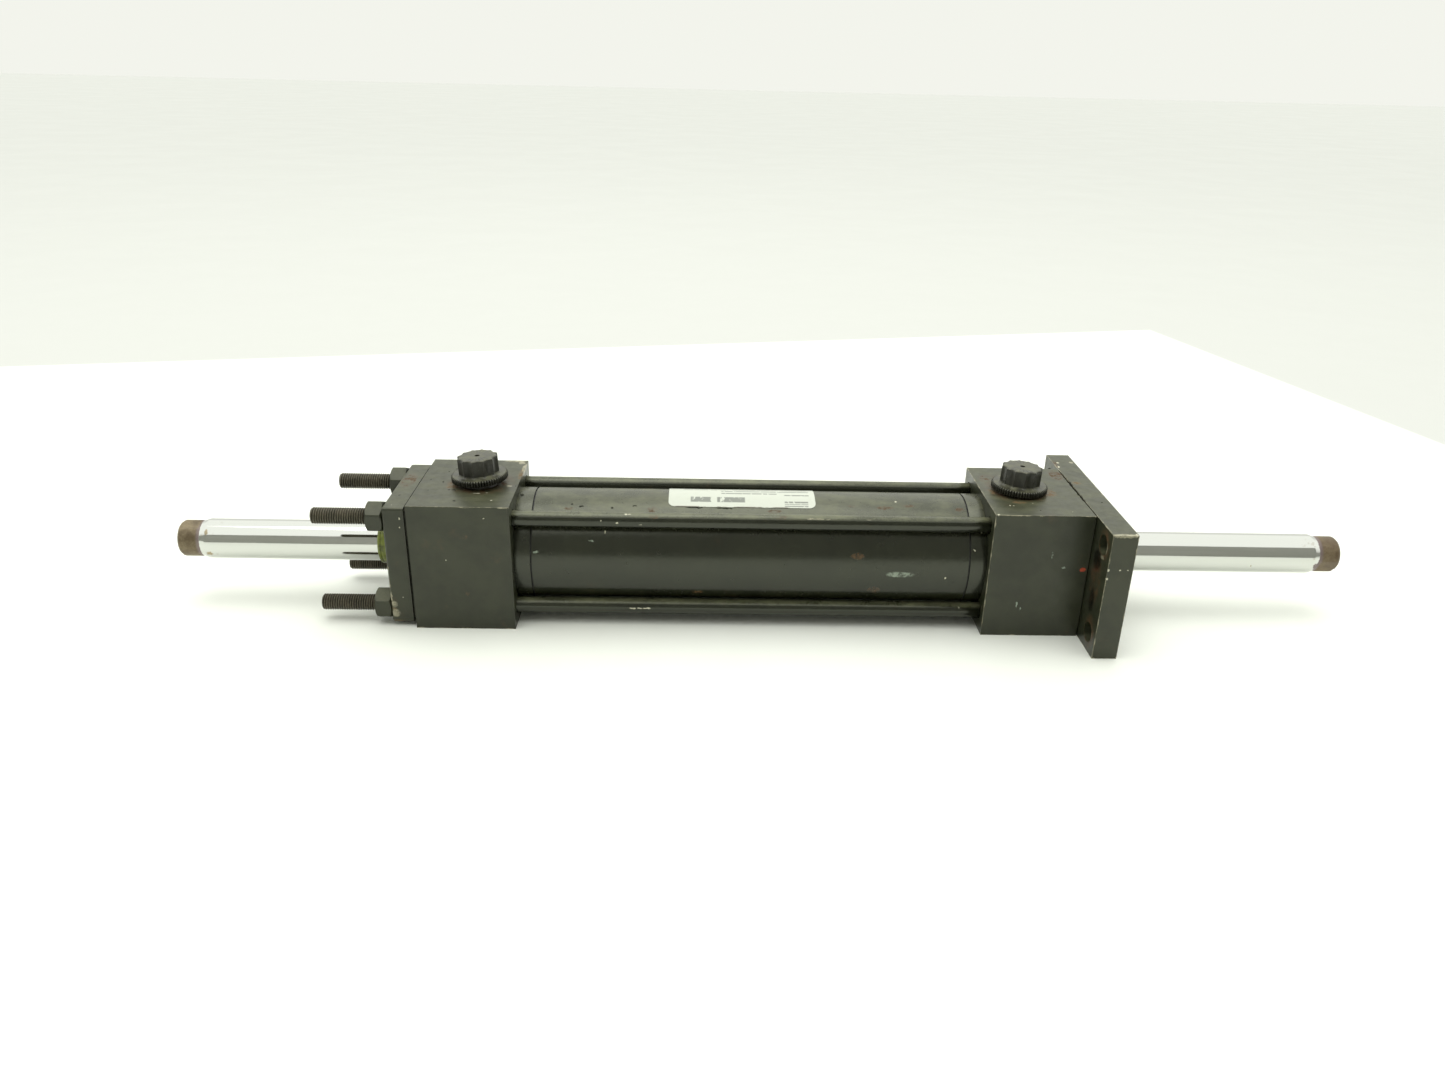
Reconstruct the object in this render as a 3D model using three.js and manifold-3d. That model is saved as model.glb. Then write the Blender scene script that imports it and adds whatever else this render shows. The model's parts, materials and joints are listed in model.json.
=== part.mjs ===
// Double-rod pneumatic cylinder, tie-rod construction, rectangular mounting flange on one head.
// Millimetres, +Z up. The rod runs along X. X = 0 is the middle of the piston rod at rest, Y = 0 is the
// plane through the rod's axis, and Z = 0 is the plane that both heads stand on.

import * as THREE from 'three';
import { mergeVertices } from 'three/addons/utils/BufferGeometryUtils.js';
import Module from 'manifold-3d';

const wasm = await Module();
wasm.setup();

// ---- Driving dimensions -------------------------------------------------------------------------

const INCH = 25.4;

const BORE_R = 0.75 * INCH;                 // 1 1/2 inch bore
const TUBE_R = 0.875 * INCH;                // outside of the barrel tube
const ROD_R = 0.3125 * INCH;                // 5/8 inch rod
const STROKE = 6 * INCH;
const ROD_LENGTH = 18.125 * INCH;
const BODY_SHIFT = -0.25 * INCH;            // the body's middle, seen from the rod's middle at rest

const HEAD_SIDE = 2 * INCH;                 // square heads
const HEAD_LENGTH = 1.5 * INCH;
const PLATE = 0.375 * INCH;                 // thickness of the flange and of the retainer plate
const FLANGE_WIDTH = 3.375 * INCH;
const RETAINER_SIDE = 1.875 * INCH;
const EDGE_R = 0.6;                         // broken long edges of the heads and plates

const BOSS_LENGTH = 0.25 * INCH;            // round boss on each head, as wide as the tube
const PISTON_LENGTH = 28.2;
const STROKE_CLEARANCE = 0.375;             // both ends together
const CAVITY = STROKE + PISTON_LENGTH + STROKE_CLEARANCE;
const HEAD_FACE = CAVITY / 2;               // inner face of each head, from the body's middle

const TIE_ROD_R = 0.125 * INCH;             // 1/4-28 studs
const TIE_HOLE_R = TIE_ROD_R + 0.225;
const TIE_OFFSET = 18.161;                  // each tie rod's Y and Z from the rod's axis
const TIE_EXTENSION = 27.6;                 // stud beyond the retainer plate
const NUT_FLATS = 0.4375 * INCH;
const NUT_HEIGHT = 6.35;

const FLANGE_HOLE_R = 0.15625 * INCH;       // 5/16 inch mounting holes
const FLANGE_HOLE_Y = 1.375 * INCH;

const PORT_U = 14.9;                        // port's axis, from its head's inner face
const PORT_R = 7.5;                         // 3/8 NPT
const CHAMBER_R = 11;                       // air space around the rod inside each head

const PLUG_STEM = 8;
const PLUG_SEAT = 0.8;                      // rim's underside above the head
const PLUG_RIM_R = 10.85;
const PLUG_RIM_TOP = 3.2;
const PLUG_GRIP_R = 7.95;
const PLUG_TOP = 10.2;
const PLUG_LOBES = 12;

const GLAND_DEPTH = 15;                     // gland's pocket in the outer face of each head
const GLAND_POCKET_R = 0.5625 * INCH;
const GLAND_NECK_R = 10.8;
const WIPER_SEAT = 5;                       // depth of the wiper's seat in the gland's mouth
const WIPER_SEAT_R = 9.9;
const WIPER_NOSE_R = 8.9;                   // part of the wiper that stands out around the rod
const WIPER_NOSE_LENGTH = 7.6;
const ROD_BUSH_R = 8.1;                     // running bore for the rod

const ROD_END_R = 0.28125 * INCH;           // unplated end section of the rod
const ROD_END_LENGTH = 8.4;
const ROD_TAPER = 2.4;
const ROD_END_FLATS = 0.5 * INCH;
const ROD_THREAD_R = 4.95;                  // tapping size of 7/16-20
const ROD_THREAD_DEPTH = 19;
const STUD_R = 5.55;                        // stud that joins the two rods through the piston
const STUD_REACH = 14;

const LABEL_FROM = -32;
const LABEL_TO = 25;
const LABEL_HALF_ANGLE = 24.5 * Math.PI / 180;

const GAP = 0.3;                            // between cut and seated pieces
const SEAM = 0.1;                           // between pieces clamped face to face
const SEAL_PLAY = 0.2;                      // between a seal and the floor of its groove
const AXIS_Z = HEAD_SIDE / 2;

const FINE = 32;                            // facets around the tube, the heads' bores and the rods
const MEDIUM = 24;                          // facets around glands, seals and the piston
const COARSE = 16;                          // facets around tie rods and bolt holes

// ---- Solids -------------------------------------------------------------------------------------

// The closed solid of a three.js geometry, with its shared vertices merged.
function solid(geometry) {
  geometry.deleteAttribute('normal');
  geometry.deleteAttribute('uv');
  const merged = mergeVertices(geometry, 1e-4);
  const index = merged.index.array;
  const triVerts = [];
  for (let i = 0; i < index.length; i += 3) {
    const [a, b, c] = index.slice(i, i + 3);
    if (a !== b && b !== c && c !== a) triVerts.push(a, b, c);
  }
  const vertProperties = new Float32Array(merged.attributes.position.array);
  const closed = new wasm.Mesh({ numProp: 3, vertProperties, triVerts: new Uint32Array(triVerts) });
  return new wasm.Manifold(closed);
}

// A body turned about the X axis from a profile of [x, radius] points, outer side towards +X.
function turned(profile, facets = MEDIUM) {
  const lathe = new THREE.LatheGeometry(profile.map(([x, r]) => new THREE.Vector2(r, x)), facets);
  lathe.rotateZ(-Math.PI / 2);
  return solid(lathe);
}

// The same, about the Z axis, from [z, radius] points.
function turnedUpright(profile, facets = MEDIUM) {
  const lathe = new THREE.LatheGeometry(profile.map(([z, r]) => new THREE.Vector2(r, z)), facets);
  lathe.rotateX(Math.PI / 2);
  return solid(lathe);
}

function shaft(from, to, r, facets = FINE) {
  return turned([[from, 0], [from, r], [to, r], [to, 0]], facets);
}

// Shaft with both ends chamfered.
function pin(from, to, r, chamfer, facets) {
  return turned([
    [from, 0], [from, r - chamfer], [from + chamfer, r],
    [to - chamfer, r], [to, r - chamfer], [to, 0],
  ], facets);
}

function ring(from, to, inner, outer, facets = MEDIUM) {
  return turned([[from, inner], [from, outer], [to, outer], [to, inner], [from, inner]], facets);
}

// Wall points at one radius with rectangular grooves, each {at, width, r}, in rising x.
function wall(from, to, r, grooves) {
  const points = [[from, r]];
  for (const groove of grooves) {
    const start = groove.at - groove.width / 2;
    const end = groove.at + groove.width / 2;
    points.push([start, r], [start, groove.r], [end, groove.r], [end, r]);
  }
  points.push([to, r]);
  return points;
}

// A shape of the YZ plane extruded along X.
function extruded(shape, from, to, curveSegments = 3) {
  const geometry = new THREE.ExtrudeGeometry(shape, { depth: to - from, bevelEnabled: false, curveSegments });
  const along = new THREE.Matrix4().makeBasis(
    new THREE.Vector3(0, 1, 0), new THREE.Vector3(0, 0, 1), new THREE.Vector3(1, 0, 0));
  geometry.applyMatrix4(along);
  geometry.translate(from, 0, 0);
  return solid(geometry);
}

// A rectangle about the axis with rounded corners.
function roundedRectangle(halfY, halfZ, r) {
  const shape = new THREE.Shape();
  shape.absarc(halfY - r, halfZ - r, r, 0, Math.PI / 2);
  shape.absarc(r - halfY, halfZ - r, r, Math.PI / 2, Math.PI);
  shape.absarc(r - halfY, r - halfZ, r, Math.PI, 1.5 * Math.PI);
  shape.absarc(halfY - r, r - halfZ, r, 1.5 * Math.PI, 2 * Math.PI);
  return shape;
}

function bar(from, to, width, height) {
  return extruded(roundedRectangle(width / 2, height / 2, EDGE_R), from, to);
}

function box(sizeX, sizeY, sizeZ, x, y, z) {
  const geometry = new THREE.BoxGeometry(sizeX, sizeY, sizeZ);
  geometry.translate(x, y, z);
  return solid(geometry);
}

function cut(body, tools) {
  return tools.reduce((rest, tool) => rest.subtract(tool), body);
}

// The four corners [y, z] of a rectangular pattern, from upper front round to upper back.
function corners(y, z) {
  return [[-y, z], [-y, -z], [y, -z], [y, z]];
}

function holes(from, to, r, places) {
  return places.map(([y, z]) => shaft(from, to, r, COARSE).translate(0, y, z));
}

const TIE_PLACES = corners(TIE_OFFSET, TIE_OFFSET);

// ---- Materials ----------------------------------------------------------------------------------

const COLOURS = {
  paint: [0x3a3e36, 0.45, 0.3],
  tie_steel: [0x3f3d33, 0.5, 0.8],
  chrome: [0xd8dbd6, 0.12, 1.0],
  bare_steel: [0x7a6450, 0.6, 0.8],
  bronze: [0x8a6f45, 0.4, 0.8],
  aluminium: [0xb9bcbc, 0.4, 0.9],
  black_plastic: [0x151613, 0.35, 0.0],
  seal_rubber: [0x1c1c1c, 0.7, 0.0],
  wiper: [0x8a9443, 0.4, 0.0],
  wear_plastic: [0xd9d4c4, 0.6, 0.0],
  label: [0xeef1e6, 0.5, 0.0],
};

function mesh(name, body, [color, roughness, metalness]) {
  const { vertProperties, triVerts } = body.getMesh();
  const geometry = new THREE.BufferGeometry();
  geometry.setAttribute('position', new THREE.BufferAttribute(vertProperties, 3));
  geometry.setIndex(new THREE.BufferAttribute(triVerts, 1));
  geometry.computeVertexNormals();
  const piece = new THREE.Mesh(geometry, new THREE.MeshStandardMaterial({ color, roughness, metalness }));
  piece.name = name;
  return piece;
}

// ---- Heads and end plates, in the head's own frame: u = 0 at its inner face, +X outwards ----------

const LIP_LENGTH = 3;
const LIP_R = 20.2;                         // thin inner lip that the tube's counterbore slides over
const POCKET_U = HEAD_LENGTH - GLAND_DEPTH;
const OUTER_U = HEAD_LENGTH + PLATE;

function headSolid() {
  const block = bar(0, HEAD_LENGTH, HEAD_SIDE, HEAD_SIDE)
    .add(shaft(-BOSS_LENGTH, 1, TUBE_R))
    .add(shaft(-BOSS_LENGTH - LIP_LENGTH, 1, LIP_R));
  const portFloor = CHAMBER_R - 3;
  const port = turnedUpright([[portFloor, 0], [portFloor, PORT_R], [AXIS_Z + 1, PORT_R], [AXIS_Z + 1, 0]]);
  return cut(block, [
    shaft(-BOSS_LENGTH - LIP_LENGTH - 1, 0, BORE_R),
    shaft(-1, POCKET_U + 1, CHAMBER_R),
    shaft(POCKET_U, HEAD_LENGTH + 1, GLAND_POCKET_R),
    port.translate(PORT_U, 0, 0),
    ...holes(-1, HEAD_LENGTH + 1, TIE_HOLE_R, TIE_PLACES),
  ]);
}

function endPlateSolid(width, height, boltHoles) {
  return cut(bar(HEAD_LENGTH + SEAM, OUTER_U, width, height), [
    shaft(HEAD_LENGTH, OUTER_U + 1, GLAND_NECK_R + GAP),
    ...holes(HEAD_LENGTH, OUTER_U + 1, TIE_HOLE_R, TIE_PLACES),
    ...holes(HEAD_LENGTH, OUTER_U + 1, FLANGE_HOLE_R, boltHoles),
  ]);
}

const O_RING_GROOVE = { at: POCKET_U + 9, width: 2.8, r: 12 };
const ROD_SEAL_GROOVE = { at: POCKET_U + 4.5, width: 5, r: 11.4 };
const WIPER_U = OUTER_U - WIPER_SEAT;       // floor of the wiper's seat

// Rod gland: a bronze bush held in its pocket by its shoulder, with the wiper's seat in its mouth.
function glandSolid() {
  const start = POCKET_U + SEAM;
  const shoulder = HEAD_LENGTH - SEAM;
  const outside = [
    ...wall(start, shoulder, GLAND_POCKET_R - GAP, [O_RING_GROOVE]),
    [shoulder, GLAND_NECK_R], [OUTER_U, GLAND_NECK_R], [OUTER_U, WIPER_SEAT_R], [WIPER_U, WIPER_SEAT_R],
  ];
  const bore = wall(start, WIPER_U, ROD_BUSH_R, [ROD_SEAL_GROOVE]).reverse();
  return turned([...outside, ...bore, outside[0]]);
}

// Rod wiper: a foot in the gland's mouth, and a thin nose around the rod with a tapered lip.
function wiperSolid() {
  const foot = WIPER_U + SEAM;
  const tip = OUTER_U + WIPER_NOSE_LENGTH;
  const lip = 0.4;
  return turned([
    [foot, ROD_BUSH_R], [foot, WIPER_SEAT_R - SEAL_PLAY], [OUTER_U, WIPER_SEAT_R - SEAL_PLAY],
    [OUTER_U, WIPER_NOSE_R], [tip - lip, WIPER_NOSE_R], [tip, WIPER_NOSE_R - lip], [tip, ROD_BUSH_R],
    [foot, ROD_BUSH_R],
  ]);
}

// A ring that fills a groove and reaches to the given radius, inside or outside the groove's floor.
function sealSolid(groove, reach) {
  const half = groove.width / 2 - SEAM;
  const floor = groove.r + SEAL_PLAY * Math.sign(reach - groove.r);
  return ring(groove.at - half, groove.at + half, Math.min(floor, reach), Math.max(floor, reach));
}

// Threaded port plug, z = 0 at the head's top face.
function plugSolid() {
  const stem = turnedUpright([
    [-PLUG_STEM, 0], [-PLUG_STEM, PORT_R - 0.75], [0, PORT_R - GAP], [PLUG_SEAT, PORT_R - GAP],
    [PLUG_SEAT, PLUG_RIM_R], [PLUG_RIM_TOP, PLUG_RIM_R], [PLUG_RIM_TOP, 0],
  ]);
  const outline = new THREE.Shape();
  const steps = PLUG_LOBES * 4;
  for (let i = 0; i < steps; i++) {
    const angle = 2 * Math.PI * i / steps;
    const r = PLUG_GRIP_R - 0.35 * (1 - Math.cos(PLUG_LOBES * angle));
    outline[i === 0 ? 'moveTo' : 'lineTo'](r * Math.cos(angle), r * Math.sin(angle));
  }
  const grip = new THREE.ExtrudeGeometry(outline, { depth: PLUG_TOP - 1, bevelEnabled: false });
  grip.translate(0, 0, 1);
  const floor = PLUG_TOP - 0.8;
  const dimple = turnedUpright([[floor, 0], [floor, 2.2], [PLUG_TOP + 1, 2.2], [PLUG_TOP + 1, 0]], COARSE);
  return stem.add(solid(grip)).subtract(dimple);
}

// ---- Barrel, tie rods and label, in the body's frame: x = 0 at its middle, axis on X --------------

const TUBE_FACE = HEAD_FACE - BOSS_LENGTH;  // where each boss ends
const TUBE_SEAL = 0.64;                     // thickness of the flat seal in each seam

function tubeSolid() {
  const end = TUBE_FACE - TUBE_SEAL;
  const counterbore = TUBE_FACE - LIP_LENGTH - GAP;
  return cut(ring(-end, end, BORE_R, TUBE_R, FINE), [
    shaft(counterbore, end + 1, LIP_R + GAP),
    shaft(-end - 1, -counterbore, LIP_R + GAP),
  ]);
}

// Flat seal between a boss and the tube, in the head's frame.
function tubeSealSolid() {
  return ring(SEAM - BOSS_LENGTH - TUBE_SEAL, -BOSS_LENGTH - SEAM, LIP_R + GAP, TUBE_R - GAP);
}

function tieRodSolid() {
  const outerFace = HEAD_FACE + OUTER_U;
  return pin(-outerFace - TIE_EXTENSION, outerFace - GAP, TIE_ROD_R, 0.5, COARSE);
}

// Hexagon nut with chamfered corners, on its own axis, seated at x = 0 and reaching to -X.
function nutSolid() {
  const corner = NUT_FLATS / Math.sqrt(3);
  const hexagon = new THREE.Shape();
  for (let i = 0; i < 6; i++) {
    const angle = i * Math.PI / 3;
    hexagon[i === 0 ? 'moveTo' : 'lineTo'](corner * Math.cos(angle), corner * Math.sin(angle));
  }
  const chamfer = 0.7;
  const crown = pin(-NUT_HEIGHT, 0, corner + 0.05, chamfer, MEDIUM);
  const hole = shaft(-NUT_HEIGHT - 1, 1, TIE_ROD_R + GAP, COARSE);
  return extruded(hexagon, -NUT_HEIGHT, 0).intersect(crown).subtract(hole);
}

// A thin curved plate that lies on top of the tube.
function labelSolid() {
  const inner = TUBE_R + 0.06;
  const outer = inner + 0.1;
  const band = new THREE.Shape();
  const start = Math.PI / 2 - LABEL_HALF_ANGLE;
  const end = Math.PI / 2 + LABEL_HALF_ANGLE;
  band.absarc(0, 0, outer, start, end, false);
  band.absarc(0, 0, inner, end, start, true);
  return extruded(band, LABEL_FROM, LABEL_TO, 10);
}

// ---- Piston and rods, in the rod's frame: x = 0 at the middle of the piston -----------------------

const PISTON_R = BORE_R - 0.25;
const SEAL_R = BORE_R - 0.15;
const PISTON_HALF = PISTON_LENGTH / 2;
const PISTON_SEAL_GROOVES = {
  stud_end: { at: -9, width: 3.8, r: 15.4 },
  flange_end: { at: 9, width: 3.8, r: 15.4 },
};
const WEAR_RING_GROOVE = { at: 0, width: 7, r: 17.1 };
const STATIC_GROOVE = { at: 0, width: 2.8, r: 7.6 };

function pistonSolid() {
  const grooves = [PISTON_SEAL_GROOVES.stud_end, WEAR_RING_GROOVE, PISTON_SEAL_GROOVES.flange_end];
  const outside = wall(-PISTON_HALF + SEAM, PISTON_HALF - SEAM, PISTON_R, grooves);
  const bore = wall(-PISTON_HALF + SEAM, PISTON_HALF - SEAM, STUD_R + GAP, [STATIC_GROOVE]).reverse();
  return turned([...outside, ...bore, outside[0]]);
}

// One rod, its outer end at +X: plated shank, tapered and reduced end with flats and a tapped hole.
function rodShank(flatsAngle) {
  const tip = ROD_LENGTH / 2;
  const endStart = tip - ROD_END_LENGTH;
  const shank = turned([
    [PISTON_HALF, 0], [PISTON_HALF, ROD_R], [endStart - ROD_TAPER, ROD_R], [endStart, ROD_END_R],
    [tip - 0.5, ROD_END_R], [tip, ROD_END_R - 0.5], [tip, 0],
  ], FINE);
  const flat = side => box(ROD_END_LENGTH + 2, 4 * ROD_R, ROD_R, tip - ROD_END_LENGTH / 2 + 1, 0,
    side * (ROD_END_FLATS + ROD_R) / 2);
  const degrees = flatsAngle * 180 / Math.PI;
  return cut(shank, [
    ...[-1, 1].map(side => flat(side).rotate([degrees, 0, 0])),
    shaft(tip - ROD_THREAD_DEPTH, tip + 1, ROD_THREAD_R, MEDIUM),
  ]);
}

function socketRodSolid(flatsAngle) {
  const socket = shaft(PISTON_HALF - 1, PISTON_HALF + STUD_REACH + 1.5, STUD_R + GAP, MEDIUM);
  return rodShank(flatsAngle).subtract(socket);
}

function studRodSolid(flatsAngle) {
  const stud = pin(-PISTON_HALF - STUD_REACH, PISTON_HALF + 1, STUD_R, 0.6, MEDIUM);
  return rodShank(flatsAngle).add(stud);
}

// ---- Assembly -----------------------------------------------------------------------------------

// The port plugs sit a little askew: plugTilt leans each one outwards, in radians.
const ENDS = [
  { name: 'flange_end', turn: 0, plugLift: 0, plugTilt: 0.038 },
  { name: 'stud_end', turn: Math.PI, plugLift: 0.9, plugTilt: 0.058 },
];

function endAssembly({ name, turn, plugLift, plugTilt }) {
  const group = new THREE.Group();
  group.position.x = HEAD_FACE * Math.cos(turn);
  group.rotation.z = turn;
  const boltPlaces = corners(FLANGE_HOLE_Y, TIE_OFFSET);
  const plate = name === 'flange_end'
    ? mesh('mounting_flange', endPlateSolid(FLANGE_WIDTH, HEAD_SIDE, boltPlaces), COLOURS.paint)
    : mesh('retainer_plate', endPlateSolid(RETAINER_SIDE, RETAINER_SIDE, []), COLOURS.paint);
  const plug = mesh(`port_plug_${name}`, plugSolid(), COLOURS.black_plastic);
  plug.position.set(PORT_U, 0, AXIS_Z + plugLift);
  plug.rotation.y = plugTilt;
  group.add(
    mesh(`head_${name}`, headSolid(), COLOURS.paint),
    plate,
    mesh(`rod_gland_${name}`, glandSolid(), COLOURS.bronze),
    mesh(`gland_o_ring_${name}`, sealSolid(O_RING_GROOVE, GLAND_POCKET_R - 0.15), COLOURS.seal_rubber),
    mesh(`rod_seal_${name}`, sealSolid(ROD_SEAL_GROOVE, ROD_BUSH_R), COLOURS.seal_rubber),
    mesh(`rod_wiper_${name}`, wiperSolid(), COLOURS.wiper),
    mesh(`tube_end_seal_${name}`, tubeSealSolid(), COLOURS.seal_rubber),
    plug,
  );
  return group;
}

const NUT_TURNS = [0.62, Math.PI / 6, 0.2, 0.62];    // each nut's turn about its tie rod

function bodyAssembly() {
  const group = new THREE.Group();
  group.position.set(BODY_SHIFT, 0, AXIS_Z);
  group.add(
    mesh('barrel_tube', tubeSolid(), COLOURS.paint),
    mesh('rating_label', labelSolid(), COLOURS.label),
    ...ENDS.map(endAssembly),
  );
  TIE_PLACES.forEach(([y, z], i) => {
    const tieRod = mesh(`tie_rod_${i + 1}`, tieRodSolid(), COLOURS.tie_steel);
    tieRod.position.set(0, y, z);
    const nut = mesh(`tie_rod_nut_${i + 1}`, nutSolid(), COLOURS.paint);
    nut.position.set(-HEAD_FACE - OUTER_U - SEAM, y, z);
    nut.rotation.x = NUT_TURNS[i];
    group.add(tieRod, nut);
  });
  return group;
}

// The wrench flats' normals, as turns from straight up.
const STUD_END_FLATS = 0.19;
const FLANGE_END_FLATS = 2.1;

function rodAssembly() {
  const group = new THREE.Group();
  group.position.z = AXIS_Z;
  const studRod = mesh('piston_rod_stud_end', studRodSolid(-STUD_END_FLATS), COLOURS.chrome);
  studRod.rotation.z = Math.PI;
  group.add(
    studRod,
    mesh('piston_rod_flange_end', socketRodSolid(FLANGE_END_FLATS), COLOURS.chrome),
    mesh('piston', pistonSolid(), COLOURS.aluminium),
    mesh('piston_static_seal', sealSolid(STATIC_GROOVE, STUD_R + 0.15), COLOURS.seal_rubber),
    mesh('piston_wear_ring', sealSolid(WEAR_RING_GROOVE, SEAL_R), COLOURS.wear_plastic),
  );
  for (const [end, groove] of Object.entries(PISTON_SEAL_GROOVES)) {
    group.add(mesh(`piston_seal_${end}`, sealSolid(groove, SEAL_R), COLOURS.seal_rubber));
  }
  return group;
}

const cylinder = new THREE.Group();
cylinder.add(bodyAssembly(), rodAssembly());

export default cylinder;
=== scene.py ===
import json
import math

import bmesh
import bpy
from mathutils import Matrix, Vector


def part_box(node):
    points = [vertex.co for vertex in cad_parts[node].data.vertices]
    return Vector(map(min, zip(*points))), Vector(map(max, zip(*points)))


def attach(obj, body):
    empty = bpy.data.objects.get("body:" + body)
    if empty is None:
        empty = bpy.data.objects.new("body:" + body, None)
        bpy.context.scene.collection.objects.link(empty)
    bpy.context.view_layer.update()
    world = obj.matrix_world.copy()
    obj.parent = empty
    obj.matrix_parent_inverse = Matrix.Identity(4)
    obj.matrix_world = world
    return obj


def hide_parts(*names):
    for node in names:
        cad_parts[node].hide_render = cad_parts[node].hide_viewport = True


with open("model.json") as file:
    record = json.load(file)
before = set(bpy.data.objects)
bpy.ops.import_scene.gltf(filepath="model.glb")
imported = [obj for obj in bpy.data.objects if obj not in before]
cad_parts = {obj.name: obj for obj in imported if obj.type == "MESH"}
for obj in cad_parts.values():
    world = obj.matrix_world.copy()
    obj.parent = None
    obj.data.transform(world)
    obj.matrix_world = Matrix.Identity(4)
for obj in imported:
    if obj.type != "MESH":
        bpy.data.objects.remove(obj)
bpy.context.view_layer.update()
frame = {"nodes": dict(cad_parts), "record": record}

# Looks of a double-rod tie-rod cylinder. Metres, +X along the rod towards the flange, +Z up.
# Angles about the rod's axis are counted from straight up, towards the camera's side (-Y).

# ---- Sizes --------------------------------------------------------------------------------------

INCH = 0.0254
MM = 0.001

RECORD = frame["record"]
BODY_OF = {node: body for body, nodes in RECORD["behaviour"]["bodies"].items() for node in nodes}

rod_low, rod_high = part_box("piston_rod_flange_end")
tube_low, tube_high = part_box("barrel_tube")
stud_head_low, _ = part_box("head_stud_end")
_, flange_head_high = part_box("head_flange_end")

AXIS_Z = (rod_low.z + rod_high.z) / 2
ROD_R = (rod_high.z - rod_low.z) / 2
TUBE_R = (tube_high.z - tube_low.z) / 2
BORE_R = 0.75 * INCH
HEAD_SIDE = 2 * INCH
HEAD_LENGTH = 1.5 * INCH
BOSS_LENGTH = 0.25 * INCH
PLATE = 0.375 * INCH
FLANGE_WIDTH = 3.375 * INCH
RETAINER_SIDE = 1.875 * INCH
MIDDLE_X = (tube_low.x + tube_high.x) / 2
HEAD_FACE = flange_head_high.x - HEAD_LENGTH - MIDDLE_X     # a head's inner face, from MIDDLE_X
# The sizes that end in _U are places along the axis, outwards of a head's inner face.
OUTER_U = HEAD_LENGTH + PLATE            # a plate's outer face

TIE_ROD_R = 0.125 * INCH
TIE_PITCH = INCH / 28
TIE_OFFSET = 18.161 * MM
TIE_HOLE_R = 3.4 * MM
# (y, z) of the tie rods from the axis, from upper front round to upper back.
TIE_PLACES = [(-TIE_OFFSET, TIE_OFFSET), (-TIE_OFFSET, -TIE_OFFSET),
              (TIE_OFFSET, -TIE_OFFSET), (TIE_OFFSET, TIE_OFFSET)]
NUT_FLAT = 0.4375 * INCH / 2
NUT_TURNS = (0.95, 0.0, 0.32, 0.95)

BOLT_HOLE_R = 0.15625 * INCH
BOLT_PLACES = [(y * 1.375 * INCH, z * TIE_OFFSET) for y in (-1, 1) for z in (-1, 1)]

GLAND_R = 0.5625 * INCH
GLAND_NECK_R = 10.8 * MM
GLAND_POCKET_U = HEAD_LENGTH - 15 * MM
CHAMBER_R = 11 * MM
PORT_U = 14.9 * MM
PORT_R = 7.5 * MM

ROD_NECK = rod_high.x - 8.4 * MM         # where the plating stops
ROD_END_R = 0.28125 * INCH
ROD_TAP_R = 4.95 * MM
ROD_TAP_DEPTH = 19 * MM
ROD_FLAT = 0.25 * INCH                   # from the axis to a wrench flat
FLAT_TURNS = {"stud_end": 0.19, "flange_end": 2.1}     # the flats' normals, from straight up

PLUG_TILT = {"flange_end": 0.038, "stud_end": 0.058}   # outward lean of the port plugs
PLUG_TOP = 10.2 * MM
PLUG_GRIP_R = 7.95 * MM
PLUG_FLUTES = 12
PLUG_RIM_R = 10.85 * MM
PLUG_RIM_RIBS = 64

GAP = 0.1 * MM                           # between pieces that meet
OVER = 1 * MM                            # how far a cutting tool runs past a face


# ---- Meshes -------------------------------------------------------------------------------------

TINY = 1e-7


def shape(name, verts, faces, matrix=None, sharp=32):
    """A mesh object with its faces out, smooth except over edges sharper than sharp degrees."""
    mesh = bpy.data.meshes.new(name)
    mesh.from_pydata(verts, [], faces)
    if matrix:
        mesh.transform(matrix)
    bm = bmesh.new()
    bm.from_mesh(mesh)
    bmesh.ops.recalc_face_normals(bm, faces=bm.faces)
    bm.to_mesh(mesh)
    bm.free()
    mesh.shade_smooth()
    mesh.set_sharp_from_angle(angle=math.radians(sharp))
    obj = bpy.data.objects.new(name, mesh)
    bpy.context.scene.collection.objects.link(obj)
    return obj


def eased(points, radius, closed=False, steps=3):
    """The (x, r) outline with its corners rounded."""
    count = len(points)
    result = []
    for i, here in enumerate(points):
        if not closed and i in (0, count - 1):
            result.append(here)
            continue
        corner = Vector(here)
        before = Vector(points[i - 1]) - corner
        after = Vector(points[(i + 1) % count]) - corner
        reach = min(radius, 0.45 * before.length, 0.45 * after.length)
        if before.angle(-after) < math.radians(8):
            result.append(here)
            continue
        start = corner + before.normalized() * reach
        end = corner + after.normalized() * reach
        for k in range(steps + 1):
            t = k / steps
            result.append(tuple(start * (1 - t) ** 2 + corner * 2 * t * (1 - t) + end * t ** 2))
    return result


def turned(name, outline, segments=96, closed=False, ripple=None, matrix=None, sharp=32):
    """A body turned about X from (x, r) points; ripple(x, r, angle) gives each point's radius."""
    verts, rings = [], []
    for x, r in outline:
        start = len(verts)
        count = 1 if r < TINY else segments
        for k in range(count):
            angle = math.tau * k / segments
            reach = ripple(x, r, angle) if ripple and r >= TINY else r
            verts.append((x, -reach * math.sin(angle), reach * math.cos(angle)))
        rings.append([start + k for k in range(count)])
    faces = []
    for one, two in zip(rings, rings[1:] + rings[:1] if closed else rings[1:]):
        for k in range(segments):
            after = (k + 1) % segments
            loop = [one[k % len(one)], one[after % len(one)],
                    two[after % len(two)], two[k % len(two)]]
            loop = list(dict.fromkeys(loop))
            if len(loop) > 2:
                faces.append(loop)
    return shape(name, verts, faces, matrix, sharp)


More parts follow.
